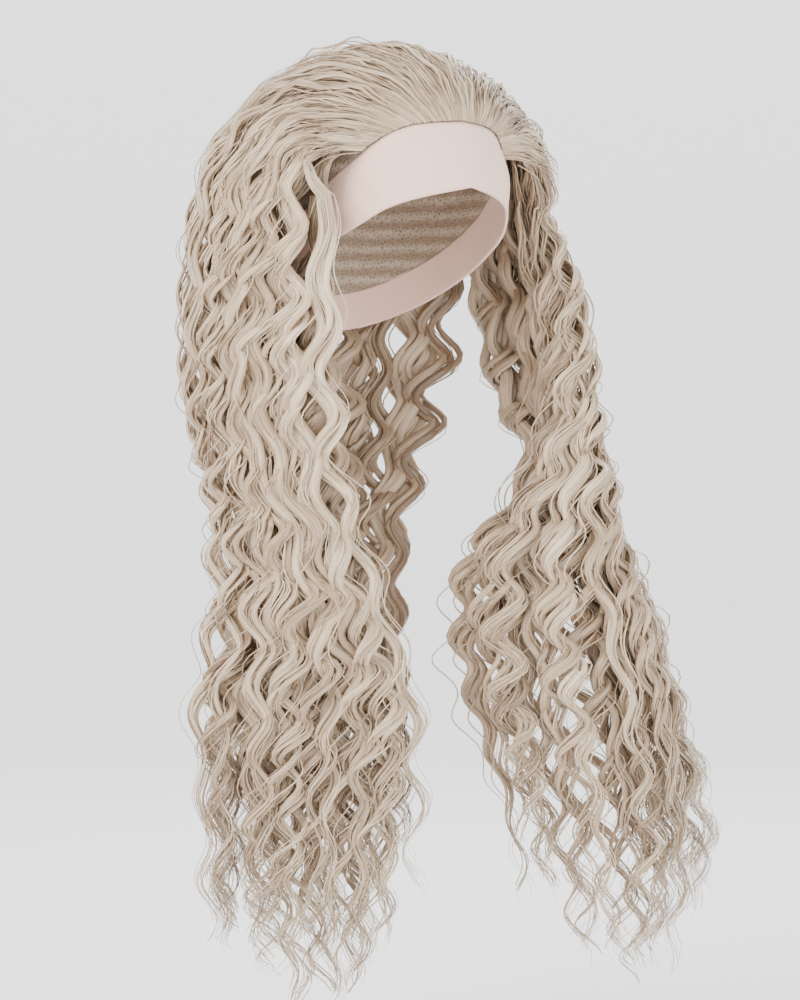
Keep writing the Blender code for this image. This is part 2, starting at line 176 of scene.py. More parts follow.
# How each lock's wave departs from an even one: how far its phase wanders and its reach swells,
# and how fast both do along the hair, in turns of a radian over a metre
PHASE_WANDER = 0.85
PHASE_WANDER_RATE = 15.0
REACH_MEAN = 0.85
REACH_SWELL = 0.34
REACH_SWELL_RATE = 21.0
WEAVE_RATE = 23.0
STRAY_RATE = 29.0
STRAY_LIFT_RATE = 37.0

# How a lock's strands leave their root, spread out and close again at the tip
FREED_LENGTH = 0.05
SPREAD_LENGTH = 0.12
ROOT_SPREAD = 0.55
TIP_SPREAD = 0.35
HEAD_CLEARANCE = CLOTH_WALL + 0.0012

# The strands of a lock, and the distances between the points along them: on the crown and below
STRANDS_IN_LOCK = 3
LOCK_LAYERS = 3
CLUMP_STEPS = (0.0090, 0.0050)
FINE_STEPS = (0.0100, 0.0050)
ROOT_STEPS = (0.0065, 0.0055)
LOOSE_SHARE = 0.16
GOLDEN_SHARE = 0.61803398875
BACK_FINE_SHARE = 0.40

# The view, measured from the photograph: turn from the front, distance, and the height that
# the picture takes in at the wig
VIEW_TURN = -37.0
VIEW_DISTANCE = 2.5
VIEW_HEIGHT = 0.700
VIEW_CENTRE_LEVEL = -0.305
VIEW_CENTRE_ACROSS = 0.007
SENSOR_WIDTH = 36.0


# Small helpers


def blend(low, high, share):
    return low + (high - low) * share


def eased(share):
    share = np.clip(share, 0.0, 1.0)
    return share * share * (3.0 - 2.0 * share)


def unit(vectors):
    return vectors / np.maximum(np.linalg.norm(vectors, axis=-1, keepdims=True), 1e-9)


def read_rows(rows, at):
    """Every column of a table at values of its first column, on smooth curves."""
    keys = rows[:, 0]
    at = np.clip(np.asarray(at, float), keys[0], keys[-1])
    low = np.clip(np.searchsorted(keys, at, side="right") - 1, 0, len(keys) - 2)
    slopes = np.empty_like(rows, dtype=float)
    slopes[1:-1] = (rows[2:] - rows[:-2]) / (keys[2:] - keys[:-2])[:, None]
    slopes[0] = (rows[1] - rows[0]) / (keys[1] - keys[0])
    slopes[-1] = (rows[-1] - rows[-2]) / (keys[-1] - keys[-2])
    span = (keys[low + 1] - keys[low])[..., None]
    share = (at - keys[low])[..., None] / span
    square = share**2
    cube = share**3
    from_values = rows[low] * (2 * cube - 3 * square + 1) + rows[low + 1] * (3 * square - 2 * cube)
    from_slopes = slopes[low] * (cube - 2 * square + share) + slopes[low + 1] * (cube - square)
    return from_values + from_slopes * span


def new_mesh_object(name, points, faces):
    mesh = bpy.data.meshes.new(name)
    mesh.from_pydata([tuple(point) for point in points], [], faces)
    mesh.validate()
    piece = bpy.data.objects.new(name, mesh)
    bpy.context.scene.collection.objects.link(piece)
    return piece


# The head's surface and the band's edges


def head_reach(level, offset):
    rise = level + HEAD_DOME_HEIGHT
    dome = np.sqrt(np.clip(1.0 - (rise / (HEAD_DOME_HEIGHT + offset)) ** 2, 0.0, 1.0))
    return np.where(rise < 0, 1.0 - NAPE_TAPER * (rise / NAPE_DROP) ** 2, dome)


def head_point(turn, level, offset):
    """Points that stand off the head by an offset, at turns in degrees from the front."""
    angle = np.radians(turn)
    reach = head_reach(level, offset)
    across = (HEAD_HALF_WIDTH + offset) * reach * np.sin(angle)
    along = -(HEAD_HALF_DEPTH + offset) * reach * np.cos(angle)
    return np.stack(np.broadcast_arrays(across, along, level), axis=-1)


def outside_head(points, offset):
    """The points, moved straight out where they lie nearer the head than the offset."""
    reach = np.maximum(head_reach(points[..., 2], offset), 0.01)
    share = np.hypot(
        points[..., 0] / ((HEAD_HALF_WIDTH + offset) * reach),
        points[..., 1] / ((HEAD_HALF_DEPTH + offset) * reach),
    )
    covered = (points[..., 2] > -BAND_NAPE_DROP - BAND_HEIGHT / 2) & (share < 1.0)
    moved = points.copy()
    scale = np.where(covered, 1.0 / np.maximum(share, 1e-3), 1.0)
    moved[..., 0] *= scale
    moved[..., 1] *= scale
    return moved


def band_edges(turn):
    away = np.abs((np.asarray(turn) + 180.0) % 360.0 - 180.0)
    row = read_rows(BAND_ROWS, away)
    centre = -blend(BAND_FRONT_DROP, BAND_NAPE_DROP, row[..., 1])
    half = row[..., 2] * BAND_HEIGHT / 2
    return centre - half, centre + half


# The hair's surface


def section_points(fall, places, shares):
    """The outer surface of a mass at places across it and shares of its length."""
    share = blend(fall.first, fall.last, places)[:, None]
    weights = (2 * (share - 0.5) * (share - 1), 4 * share * (1 - share), 2 * share * (share - 0.5))
    rows = read_rows(fall.sections, shares)
    across = sum(weight * rows[None, :, 1 + 2 * index] for index, weight in enumerate(weights))
    along = sum(weight * rows[None, :, 2 + 2 * index] for index, weight in enumerate(weights))
    level = np.broadcast_to(-HAIR_SEAM_DROP - shares * HAIR_LENGTH, across.shape)
    return np.stack((across * fall.side * HAIR_HALF_WIDTH, along * HAIR_HALF_DEPTH, level), axis=-1)


def crown_points(fall, places, shares):
    """The outer and inner surface over the crown, from the hairline (0) to the seam (1)."""
    locks = fall.first_lock + places * len(fall.tips)
    across = 2 * locks / LOCK_COUNT - 1
    turn = HAIRLINE_TURN * across
    level = band_edges(turn)[1] + HAIRLINE_RISE
    reach = head_reach(level, CLOTH_WALL)
    rise = (level + HEAD_DOME_HEIGHT) / (HEAD_DOME_HEIGHT + CLOTH_WALL)
    angle = np.radians(turn)
    root = np.stack((np.sin(angle) * reach, -np.cos(angle) * reach, rise), axis=-1)
    fan = np.radians(CROWN_FAN * across)
    half_way = np.stack((np.sin(fan), 0.1 - 0.65 * np.sin(np.abs(fan)) ** 4, np.cos(fan)), axis=-1)
    seam = section_points(fall, places, np.array((0.0,)))[:, 0]
    end = np.stack((
        seam[:, 0] / HAIR_HALF_WIDTH,
        (seam[:, 1] - CROWN_BACK_SHIFT) / (HAIR_HALF_DEPTH - CROWN_BACK_SHIFT),
        np.zeros(len(places)),
    ), axis=-1)
    root, half_way, end = (unit(way)[:, None] for way in (root, half_way, end))
    share = shares[None, :, None]
    way = unit(root * (1 - share) ** 2 + half_way * 2 * share * (1 - share) + end * share**2)
    centre = np.array((0.0, 0.0, -HEAD_DOME_HEIGHT))
    sizes = np.array((HEAD_HALF_WIDTH, HEAD_HALF_DEPTH, HEAD_DOME_HEIGHT))
    on_cap = centre + way * (sizes + CLOTH_WALL)
    inner = centre + way * (sizes + CLOTH_WALL + HAIR_CLEARANCE * 0.5)
    full_centre = np.array((0.0, CROWN_BACK_SHIFT, -HAIR_SEAM_DROP))
    full_sizes = np.array((
        HAIR_HALF_WIDTH,
        HAIR_HALF_DEPTH - CROWN_BACK_SHIFT,
        HAIR_SEAM_DROP + HAIR_CROWN_VOLUME,
    ))
    full = full_centre + way * full_sizes
    lifted = ROOT_THICKNESS_SHARE * eased((share + 0.02) / 0.09)
    filled = lifted + (1.0 - ROOT_THICKNESS_SHARE) * eased(share / 0.45)
    outer = blend(blend(on_cap, full, filled), seam[:, None], share**4)
    return outer, inner


class Surface:
    """A mass's outer and inner surface as grids over place and row, with its directions."""

    def __init__(self, fall):
        places = np.linspace(0.0, 1.0, PLACES)
        crown_shares = np.linspace(0.0, 1.0, CROWN_ROWS, endpoint=False)
        fall_shares = np.linspace(0.0, 1.0, FALL_ROWS)
        crown_outer, crown_inner = crown_points(fall, places, crown_shares)
        outer = section_points(fall, places, fall_shares)
        self.outer = np.concatenate((crown_outer, outer), axis=1)
        self.sideways = unit(np.gradient(self.outer, axis=0))
        down = np.gradient(self.outer, axis=1)
        self.outward = unit(np.cross(self.sideways, down))
        depth = HAIR_THICKNESS * read_rows(fall.sections, fall_shares)[:, -1]
        under = outer - self.outward[:, CROWN_ROWS:] * depth[None, :, None]
        seam_inner = under[:, :1]
        crown_inner = blend(crown_inner, seam_inner, eased(crown_shares)[None, :, None] ** 2)
        inner = np.concatenate((crown_inner, under), axis=1)
        self.inner = outside_head(inner, CLOTH_WALL + HAIR_CLEARANCE * 0.5)
        steps = np.linalg.norm(np.diff(self.outer, axis=1), axis=-1)
        run = np.concatenate((np.zeros((PLACES, 1)), np.cumsum(steps, axis=1)), axis=1)
        self.distance = run - run[:, CROWN_ROWS : CROWN_ROWS + 1]
        self.shares = np.concatenate((crown_shares - 1.0, fall_shares))

    def at(self, grid, place, row):
        """A grid's value at places and rows, between its neighbours."""
        across = np.clip(place, 0.0, 1.0) * (PLACES - 1)
        left = np.clip(across.astype(int), 0, PLACES - 2)
        above = np.clip(row.astype(int), 0, grid.shape[1] - 2)
        side = across - left
        down = row - above
        if grid.ndim == 3:
            side = side[:, None]
            down = down[:, None]
        top = blend(grid[left, above], grid[left + 1, above], side)
        bottom = blend(grid[left, above + 1], grid[left + 1, above + 1], side)
        return blend(top, bottom, down)

    def column_distance(self, place):
        across = min(max(place, 0.0), 1.0) * (PLACES - 1)
        left = min(int(across), PLACES - 2)
        return blend(self.distance[left], self.distance[left + 1], across - left)


# Strands: lines with a radius, an outward direction, a tone with painted shade for deeper locks, and
# a slot for each point


class Strands:
    """Lines to sweep into strands, gathered for one piece."""

    def __init__(self):
        self.points = []
        self.radii = []
        self.outwards = []
        self.tones_and_depth_shade = []

    def add(self, points, radii, outward, tone):
        self.points.append(points)
        self.radii.append(radii)
        self.outwards.append(outward)
        self.tones_and_depth_shade.append(tone)

    def line_object(self, name):
        counts = [len(points) for points in self.points]
        starts = np.concatenate(((0,), np.cumsum(counts)[:-1]))
        edges = []
        for start, count in zip(starts, counts):
            run = np.arange(start, start + count - 1)
            edges.append(np.stack((run, run + 1), axis=1))
        edges = np.concatenate(edges)
        points = np.concatenate(self.points)
        mesh = bpy.data.meshes.new(name)
        mesh.vertices.add(len(points))
        mesh.vertices.foreach_set("co", points.astype(np.float32).ravel())
        mesh.edges.add(len(edges))
        mesh.edges.foreach_set("vertices", edges.astype(np.int32).ravel())
        mesh.update()
        along = np.concatenate([np.linspace(0.0, 1.0, count) for count in counts])
        # Each strand's tone, which carries the painted shade of deeper locks
        tone = np.repeat(self.tones_and_depth_shade, counts)
        slot = np.repeat(np.arange(len(counts)), counts)
        values = (
            ("strand_radius", "FLOAT", np.concatenate(self.radii)),
            ("strand_outward", "FLOAT_VECTOR", np.concatenate(self.outwards).ravel()),
            ("strand_along", "FLOAT", along),
            ("strand_tone_and_depth_shade", "FLOAT", tone),
            ("strand_slot", "FLOAT", slot),
        )
        for label, kind, data in values:
            attribute = mesh.attributes.new(label, kind, "POINT")
            field = "vector" if kind == "FLOAT_VECTOR" else "value"
            attribute.data.foreach_set(field, np.asarray(data, np.float32))
        piece = bpy.data.objects.new(name, mesh)
        bpy.context.scene.collection.objects.link(piece)
        return piece


def wave_reach(distance):
    grown = eased((distance + HAIR_SEAM_DROP) / WAVE_GROWTH_LENGTH)
    return blend(WAVE_REACH_ROOT, WAVE_REACH, grown)


def spaced(start, end, crown_step, fall_step):
    """Distances from start to end, closer together where the hair waves than on the crown."""
    fine = np.linspace(start, end, 400)
    waved = eased((fine + HAIR_SEAM_DROP) / 0.12)
    rate = 1.0 / blend(crown_step, fall_step, waved)
    run = np.concatenate(((0.0,), np.cumsum((rate[1:] + rate[:-1]) / 2 * np.diff(fine))))
    count = max(int(run[-1]) + 2, 8)
    return np.interp(np.linspace(0.0, run[-1], count), run, fine)


class Lock:
    """A lock of hair: where it starts, runs and ends, and the wave its strands share."""

    def __init__(self, fall, index, rng):
        count = len(fall.tips)
        layer = index % LOCK_LAYERS
        self.fall = fall
        self.place = (index * GOLDEN_SHARE + rng.uniform(-0.012, 0.012) + 0.31) % 1.0
        self.depth = (layer + rng.uniform(0.05, 0.75)) / LOCK_LAYERS
        tip = min(int(self.place * count), count - 1)
        centre = (tip + 0.5) / count
        self.tip_place = blend(self.place, centre, rng.uniform(0.0, 0.45)) + rng.normal(0.0, 0.025)
        self.start = 0.0 if layer == 0 else rng.uniform(0.12, 0.45) * (layer + 0.3)
        self.end = fall.tips[tip] - 0.015 - abs(rng.normal(0.0, 0.055))
        self.period = WAVE_PERIOD * rng.normal(1.0, 0.07)
        self.phase = rng.normal(0.0, 1.0)
        self.reach = rng.uniform(0.75, 1.25)
        self.sway = rng.uniform(0.0, 6.28)
        self.drift = rng.normal(0.0, 0.012)
        # A random tone, darkened with the lock's depth: painted shade where the outer hair shades the
        # inner hair
        self.tone = rng.uniform(0.30, 1.0) * (1.0 - 0.38 * self.depth)


class Member:
    """How one strand of a lock departs from the lock."""

    def __init__(self, across, lift, phase, reach, longer, stray):
        self.across = across
        self.lift = lift
        self.phase = phase
        self.reach = reach
        self.longer = longer
        self.stray = stray


def lay_strand(surface, lock, member, steps):
    """One strand of a lock, as points, outward directions and the share gone along it."""
    fall = lock.fall
    place = lock.place
    column = surface.column_distance(place)
    rows = np.arange(len(column), dtype=float)
    start = np.interp(lock.start - 1.0, surface.shares, column)
    end = np.interp(lock.end + member.longer, surface.shares, column)
    distance = spaced(start, end, *steps)
    row = np.interp(distance, column, rows)
    gone = (distance - start) / max(end - start, 1e-6)
    fallen = np.clip(distance / HAIR_LENGTH, 0.0, 1.0)
    drift = lock.drift * np.sin(gone * 4.0 + lock.sway)
    path = np.clip(blend(place, lock.tip_place, eased(fallen * 1.25)) + drift, 0.0, 1.0)
    outer = surface.at(surface.outer, path, row)
    inner = surface.at(surface.inner, path, row)
    outward = unit(surface.at(surface.outward, path, row))
    sideways = unit(surface.at(surface.sideways, path, row))
    freed = eased((distance - start) / FREED_LENGTH)
    sunk = lock.depth * freed if lock.start == 0 else np.full_like(freed, lock.depth)
    base = blend(outer, inner, sunk[:, None])
    coordinate = fall.first_lock + path * len(fall.tips)
    turn = 2 * math.pi * ((distance - WAVE_MIDDLE) / lock.period + WAVE_MIDDLE / WAVE_PERIOD)
    turn = turn + coordinate * PHASE_STEP + lock.phase + member.phase
    turn = turn + PHASE_WANDER * np.sin(distance * PHASE_WANDER_RATE + lock.sway)
    swelling = REACH_MEAN + REACH_SWELL * np.sin(distance * REACH_SWELL_RATE + lock.sway * 2.3)
    reach = wave_reach(distance) * lock.reach * member.reach * swelling * freed
    opening = blend(ROOT_SPREAD, 1.0, eased((distance - start) / SPREAD_LENGTH))
    spread = opening * blend(1.0, TIP_SPREAD, eased((gone - 0.55) / 0.45))
    weave = 0.8 + 0.5 * np.sin(distance * WEAVE_RATE + member.phase * 9.0 + lock.sway)
    across = member.across * spread * weave
    across = across + member.stray * np.sin(distance * STRAY_RATE + member.phase * 13.0) * freed
    swing = reach * np.sin(turn) + across
    rise = reach * WAVE_DEPTH_SHARE * np.cos(turn) + member.lift * freed
    flutter = np.cos(distance * STRAY_LIFT_RATE + member.phase * 7.0)
    rise = rise + abs(member.stray) * 0.7 * flutter * freed
    points = base + sideways * swing[:, None] + outward * rise[:, None]
    points = outside_head(points, HEAD_CLEARANCE)
    twist = 0.35 * np.cos(turn + 0.6) + member.across * 40.0
    facing = unit(outward * np.cos(twist)[:, None] + sideways * np.sin(twist)[:, None])
    return points, facing, gone


def strand_width(gone, widest, root, tip, closes=0.58):
    """The radius along a strand: narrow at its root, full for most of its length, then a tip."""
    swelling = blend(root, 1.0, eased(gone / 0.22))
    closing = blend(1.0, tip, eased((gone - closes) / (1.0 - closes)) ** 1.1)
    return widest * swelling * closing


def make_locks(fall, count, seed):
    rng = np.random.default_rng(seed)
    return [Lock(fall, index, rng) for index in range(count)]


def clump_strands(locks, surface, settings, seed):
    """The broad strands of every lock."""
    rng = np.random.default_rng(seed)
    strands = Strands()
    for lock in locks:
        for index in range(STRANDS_IN_LOCK):
            across = (index - 1) * settings.clump_width * 0.62 + rng.normal(0.0, 0.0008)
            member = Member(
                across,
                rng.normal(0.0, 0.0016) - 0.0012 * (index == 1),
                rng.normal(0.0, 0.26),
                rng.uniform(0.85, 1.15),
                rng.normal(0.0, 0.012),
                rng.uniform(0.0002, 0.0010),
            )
            points, facing, gone = lay_strand(surface, lock, member, CLUMP_STEPS)
            widest = settings.clump_width / 2 * rng.uniform(0.70, 1.15)
            radii = strand_width(gone, widest, 0.40, 0.10)
            strands.add(points, radii, facing, np.clip(lock.tone + rng.normal(0.0, 0.10), 0.0, 1.0))
    return strands


def fine_strands(locks, surface, settings, count, seed):
    """The fine strands that run over each lock, stray from it and make its wispy end."""
    rng = np.random.default_rng(seed)
    strands = Strands()
    for index in range(count):
        lock = locks[index % len(locks)]
        loose = rng.uniform() < LOOSE_SHARE
        member = Member(
            rng.normal(0.0, 0.0050 if not loose else 0.0085),
            rng.uniform(0.0004, 0.0034 if not loose else 0.0065),
            rng.normal(0.0, 0.30 if not loose else 0.9),
            rng.uniform(0.9, 1.30 if not loose else 1.55),
            rng.uniform(-0.02, 0.030 if not loose else 0.015),
            rng.uniform(0.0004, 0.0016 if not loose else 0.0035),
        )
        points, facing, gone = lay_strand(surface, lock, member, FINE_STEPS)
        widest = settings.fine_width / 2 * rng.uniform(0.6, 1.35)
        radii = strand_width(gone, widest, 0.8, 0.3, closes=0.75)
        strands.add(points, radii, facing, np.clip(lock.tone + rng.normal(0.15, 0.22), 0.0, 1.0))
    return strands


# The sweep, as a node tree


def sweep_tree():
    """Sweeps lines with a flat round section, by each point's radius and outward direction."""
    name = "strand_sweep"
    if name in bpy.data.node_groups:
        return bpy.data.node_groups[name]
    tree = bpy.data.node_groups.new(name, "GeometryNodeTree")
    face = tree.interface
    face.new_socket("Geometry", in_out="INPUT", socket_type="NodeSocketGeometry")
    sides = face.new_socket("Sides", in_out="INPUT", socket_type="NodeSocketInt")
    sides.default_value = 6
    flatness = face.new_socket("Flatness", in_out="INPUT", socket_type="NodeSocketFloat")
    flatness.default_value = 0.45
    face.new_socket("Material", in_out="INPUT", socket_type="NodeSocketMaterial")
    face.new_socket("Geometry", in_out="OUTPUT", socket_type="NodeSocketGeometry")
    nodes = tree.nodes
    links = tree.links
    start = nodes.new("NodeGroupInput")
    end = nodes.new("NodeGroupOutput")

    def named(label, kind):
        node = nodes.new("GeometryNodeInputNamedAttribute")
        node.data_type = kind
        node.inputs["Name"].default_value = label
        return node.outputs["Attribute"]

    to_curve = nodes.new("GeometryNodeMeshToCurve")
    normals = nodes.new("GeometryNodeSetCurveNormal")
    normals.mode = "FREE"
    circle = nodes.new("GeometryNodeCurvePrimitiveCircle")
    circle.inputs["Radius"].default_value = 1.0
    shape = nodes.new("GeometryNodeTransform")
    stretch = nodes.new("ShaderNodeCombineXYZ")
    stretch.inputs["Y"].default_value = 1.0
    stretch.inputs["Z"].default_value = 1.0
    around = nodes.new("GeometryNodeStoreNamedAttribute")
    around.data_type = "FLOAT"
    around.domain = "POINT"
    around.inputs["Name"].default_value = "strand_around"
    index = nodes.new("GeometryNodeInputIndex")
    sweep = nodes.new("GeometryNodeCurveToMesh")
    sweep.inputs["Fill Caps"].default_value = True
    smooth = nodes.new("GeometryNodeSetShadeSmooth")
    paint = nodes.new("GeometryNodeSetMaterial")
    realize = nodes.new("GeometryNodeRealizeInstances")

    links.new(start.outputs["Geometry"], to_curve.inputs["Mesh"])
    links.new(to_curve.outputs["Curve"], normals.inputs["Curve"])
    links.new(named("strand_outward", "FLOAT_VECTOR"), normals.inputs["Normal"])
    links.new(start.outputs["Sides"], circle.inputs["Resolution"])
    links.new(circle.outputs["Curve"], shape.inputs["Geometry"])
    links.new(start.outputs["Flatness"], stretch.inputs["X"])
    links.new(stretch.outputs["Vector"], shape.inputs["Scale"])
    links.new(shape.outputs["Geometry"], around.inputs["Geometry"])
    links.new(index.outputs["Index"], around.inputs["Value"])
    links.new(normals.outputs["Curve"], sweep.inputs["Curve"])
    links.new(around.outputs["Geometry"], sweep.inputs["Profile Curve"])
    links.new(named("strand_radius", "FLOAT"), sweep.inputs["Scale"])
    links.new(sweep.outputs["Mesh"], smooth.inputs["Geometry"])
    links.new(smooth.outputs["Geometry"], realize.inputs["Geometry"])
    links.new(realize.outputs["Geometry"], paint.inputs["Geometry"])
    links.new(start.outputs["Material"], paint.inputs["Material"])
    links.new(paint.outputs["Geometry"], end.inputs["Geometry"])
    return tree


def set_input(modifier, name, value):
    for item in modifier.node_group.interface.items_tree:
        if item.item_type == "SOCKET" and item.in_out == "INPUT" and item.name == name:
            modifier[item.identifier] = value


def sweep_strands(strands, name, sides, flatness, material):
    """The strands as one plain mesh, with a map that gives each strand its own column."""
    line = strands.line_object(name + "_lines")
    modifier = line.modifiers.new("sweep", "NODES")
    modifier.node_group = sweep_tree()
    set_input(modifier, "Sides", sides)
    set_input(modifier, "Flatness", flatness)
    set_input(modifier, "Material", material)
    evaluated = line.evaluated_get(bpy.context.evaluated_depsgraph_get())
    mesh = bpy.data.meshes.new_from_object(evaluated)
    mesh.name = name
    bpy.data.objects.remove(line, do_unlink=True)
    piece = bpy.data.objects.new(name, mesh)
    bpy.context.scene.collection.objects.link(piece)
    lay_map(mesh, sides, len(strands.points))
    if not mesh.materials:
        mesh.materials.append(material)
    return piece


def point_values(mesh, label):
    values = np.empty(len(mesh.vertices), np.float32)
    mesh.attributes[label].data.foreach_get("value", values)
    return values


def lay_map(mesh, sides, slots):
    """A map with a column for each strand: around it across the column, and along it upwards."""
    corners = np.empty(len(mesh.loops), np.int32)
    mesh.loops.foreach_get("vertex_index", corners)
    starts = np.empty(len(mesh.polygons), np.int32)
    mesh.polygons.foreach_get("loop_start", starts)
    totals = np.empty(len(mesh.polygons), np.int32)
    mesh.polygons.foreach_get("loop_total", totals)
    around = point_values(mesh, "strand_around")[corners]
    polygon = np.repeat(np.arange(len(starts)), totals)
    highest = np.zeros(len(starts))
    np.maximum.at(highest, polygon, around)
    lowest = np.full(len(starts), float(sides))
    np.minimum.at(lowest, polygon, around)
    closing = (totals == 4) & (highest - lowest > sides / 2)
    around = np.where(closing[polygon] & (around < 0.5), float(sides), around)
    across = (point_values(mesh, "strand_slot")[corners] + 0.04 + 0.92 * around / sides) / slots
    along = 0.002 + 0.996 * point_values(mesh, "strand_along")[corners]
    layer = mesh.uv_layers.new(name="OFBake")
    layer.data.foreach_set("uv", np.stack((across, along), axis=1).astype(np.float32).ravel())


# Materials


def new_material(name):
    material = bpy.data.materials.new(name)
    material.use_nodes = True
    return material, material.node_tree.nodes, material.node_tree.links


def ramp(nodes, stops):
    node = nodes.new("ShaderNodeValToRGB")
    elements = node.color_ramp.elements
    while len(elements) > 1:
        elements.remove(elements[-1])
    elements[0].position = stops[0][0]
    elements[0].color = (*stops[0][1], 1.0)
    for position, colour in stops[1:]:
        element = elements.new(position)
        element.color = (*colour, 1.0)
    return node


def maths(nodes, links, operation, first, second):
    node = nodes.new("ShaderNodeMath")
    node.operation = operation
    for socket, value in zip(node.inputs, (first, second)):
        if isinstance(value, (int, float)):
            socket.default_value = value
        else:
            links.new(value, socket)
    return node.outputs[0]


# Streaks round a strand, and the hair's colours from shade to light
CLUMP_STREAKS = 13.0
FINE_STREAKS = 1.5
HAIR_COLOURS = (
    (0.00, (0.120, 0.070, 0.038)),
    (0.28, (0.235, 0.150, 0.088)),
    (0.50, (0.390, 0.272, 0.170)),
    (0.72, (0.560, 0.420, 0.280)),
    (1.00, (0.820, 0.680, 0.500)),
)


def hair_material(name, slots, streaks_around):
    """Hair fibre: fine streaks along each strand, tones from strand to strand with painted shade on
    deeper locks, a soft gloss.
    """
    material, nodes, links = new_material(name)
    shader = nodes["Principled BSDF"]
    shader.inputs["Roughness"].default_value = 0.36
    shader.inputs["Specular IOR Level"].default_value = 0.60
    shader.inputs["Sheen Weight"].default_value = 0.10
    shader.inputs["Sheen Roughness"].default_value = 0.40
    uv = nodes.new("ShaderNodeUVMap")
    uv.uv_map = "OFBake"
    placed = nodes.new("ShaderNodeMapping")
    placed.inputs["Scale"].default_value = (slots * streaks_around, 8.0, 1.0)
    links.new(uv.outputs["UV"], placed.inputs["Vector"])
    streaks = nodes.new("ShaderNodeTexNoise")
    streaks.inputs["Scale"].default_value = 1.0
    streaks.inputs["Detail"].default_value = 2.5
    streaks.inputs["Roughness"].default_value = 0.70
    links.new(placed.outputs["Vector"], streaks.inputs["Vector"])
    # The strand's tone, with the painted shade of deeper locks in it
    tone = nodes.new("ShaderNodeAttribute")
    tone.attribute_name = "strand_tone_and_depth_shade"
    place = nodes.new("ShaderNodeTexCoord")
    patches = nodes.new("ShaderNodeTexNoise")
    patches.inputs["Scale"].default_value = 18.0
    patches.inputs["Detail"].default_value = 2.0
    links.new(place.outputs["Object"], patches.inputs["Vector"])
    from_tone_and_depth_shade = maths(nodes, links, "MULTIPLY", tone.outputs["Fac"], 0.55)
    from_streaks = maths(nodes, links, "MULTIPLY", streaks.outputs["Fac"], 1.15)
    from_patches = maths(nodes, links, "MULTIPLY", patches.outputs["Fac"], 0.30)
    together = maths(nodes, links, "ADD", from_tone_and_depth_shade, from_streaks)
    together = maths(nodes, links, "ADD", together, from_patches)
    together = maths(nodes, links, "SUBTRACT", together, 0.47)
    colour = ramp(nodes, HAIR_COLOURS)
    links.new(together, colour.inputs["Fac"])
    links.new(colour.outputs["Color"], shader.inputs["Base Color"])
    bump = nodes.new("ShaderNodeBump")
    bump.inputs["Strength"].default_value = 0.75
    bump.inputs["Distance"].default_value = 0.0007
    links.new(streaks.outputs["Fac"], bump.inputs["Height"])
    links.new(bump.outputs["Normal"], shader.inputs["Normal"])
    return material


def knit_material(name, colour, stitches):
    """Stretch jersey: fine columns of stitches, a soft nap and faint stretch shading."""
    material, nodes, links = new_material(name)
    shader = nodes["Principled BSDF"]
    shader.inputs["Roughness"].default_value = 0.82
    shader.inputs["Specular IOR Level"].default_value = 0.28
    shader.inputs["Sheen Weight"].default_value = 0.35
    shader.inputs["Sheen Roughness"].default_value = 0.55
    uv = nodes.new("ShaderNodeUVMap")
    uv.uv_map = "cloth_map"
    placed = nodes.new("ShaderNodeMapping")
    placed.inputs["Scale"].default_value = (stitches, stitches, 1.0)
    links.new(uv.outputs["UV"], placed.inputs["Vector"])
    columns = nodes.new("ShaderNodeTexWave")
    columns.wave_type = "BANDS"
    columns.bands_direction = "X"
    columns.inputs["Scale"].default_value = 1.0
    columns.inputs["Distortion"].default_value = 1.2
    columns.inputs["Detail"].default_value = 1.0
    links.new(placed.outputs["Vector"], columns.inputs["Vector"])
    rows = nodes.new("ShaderNodeTexWave")
    rows.wave_type = "BANDS"
    rows.bands_direction = "Y"
    rows.inputs["Scale"].default_value = 1.3
    rows.inputs["Distortion"].default_value = 1.0
    links.new(placed.outputs["Vector"], rows.inputs["Vector"])
    relief = maths(nodes, links, "MULTIPLY", columns.outputs["Fac"], rows.outputs["Fac"])
    place = nodes.new("ShaderNodeTexCoord")
    shade = nodes.new("ShaderNodeTexNoise")
    shade.inputs["Scale"].default_value = 22.0
    shade.inputs["Detail"].default_value = 4.0
    links.new(place.outputs["Object"], shade.inputs["Vector"])
    mixed = maths(nodes, links, "MULTIPLY", relief, 0.45)
    from_shade = maths(nodes, links, "MULTIPLY", shade.outputs["Fac"], 0.55)
    mixed = maths(nodes, links, "ADD", mixed, from_shade)
    dark = tuple(channel * 0.90 for channel in colour)
    light = tuple(min(channel * 1.05, 1.0) for channel in colour)
    painted = ramp(nodes, ((0.15, dark), (0.75, light)))
    links.new(mixed, painted.inputs["Fac"])
    links.new(painted.outputs["Color"], shader.inputs["Base Color"])
    bump = nodes.new("ShaderNodeBump")
    bump.inputs["Strength"].default_value = 0.35
    bump.inputs["Distance"].default_value = 0.0003
    links.new(relief, bump.inputs["Height"])
    links.new(bump.outputs["Normal"], shader.inputs["Normal"])
    return material


NET_COLOURS = (
    (0.0, (0.58, 0.48, 0.37)),
    (0.5, (0.40, 0.31, 0.23)),
    (0.9, (0.27, 0.20, 0.14)),
)


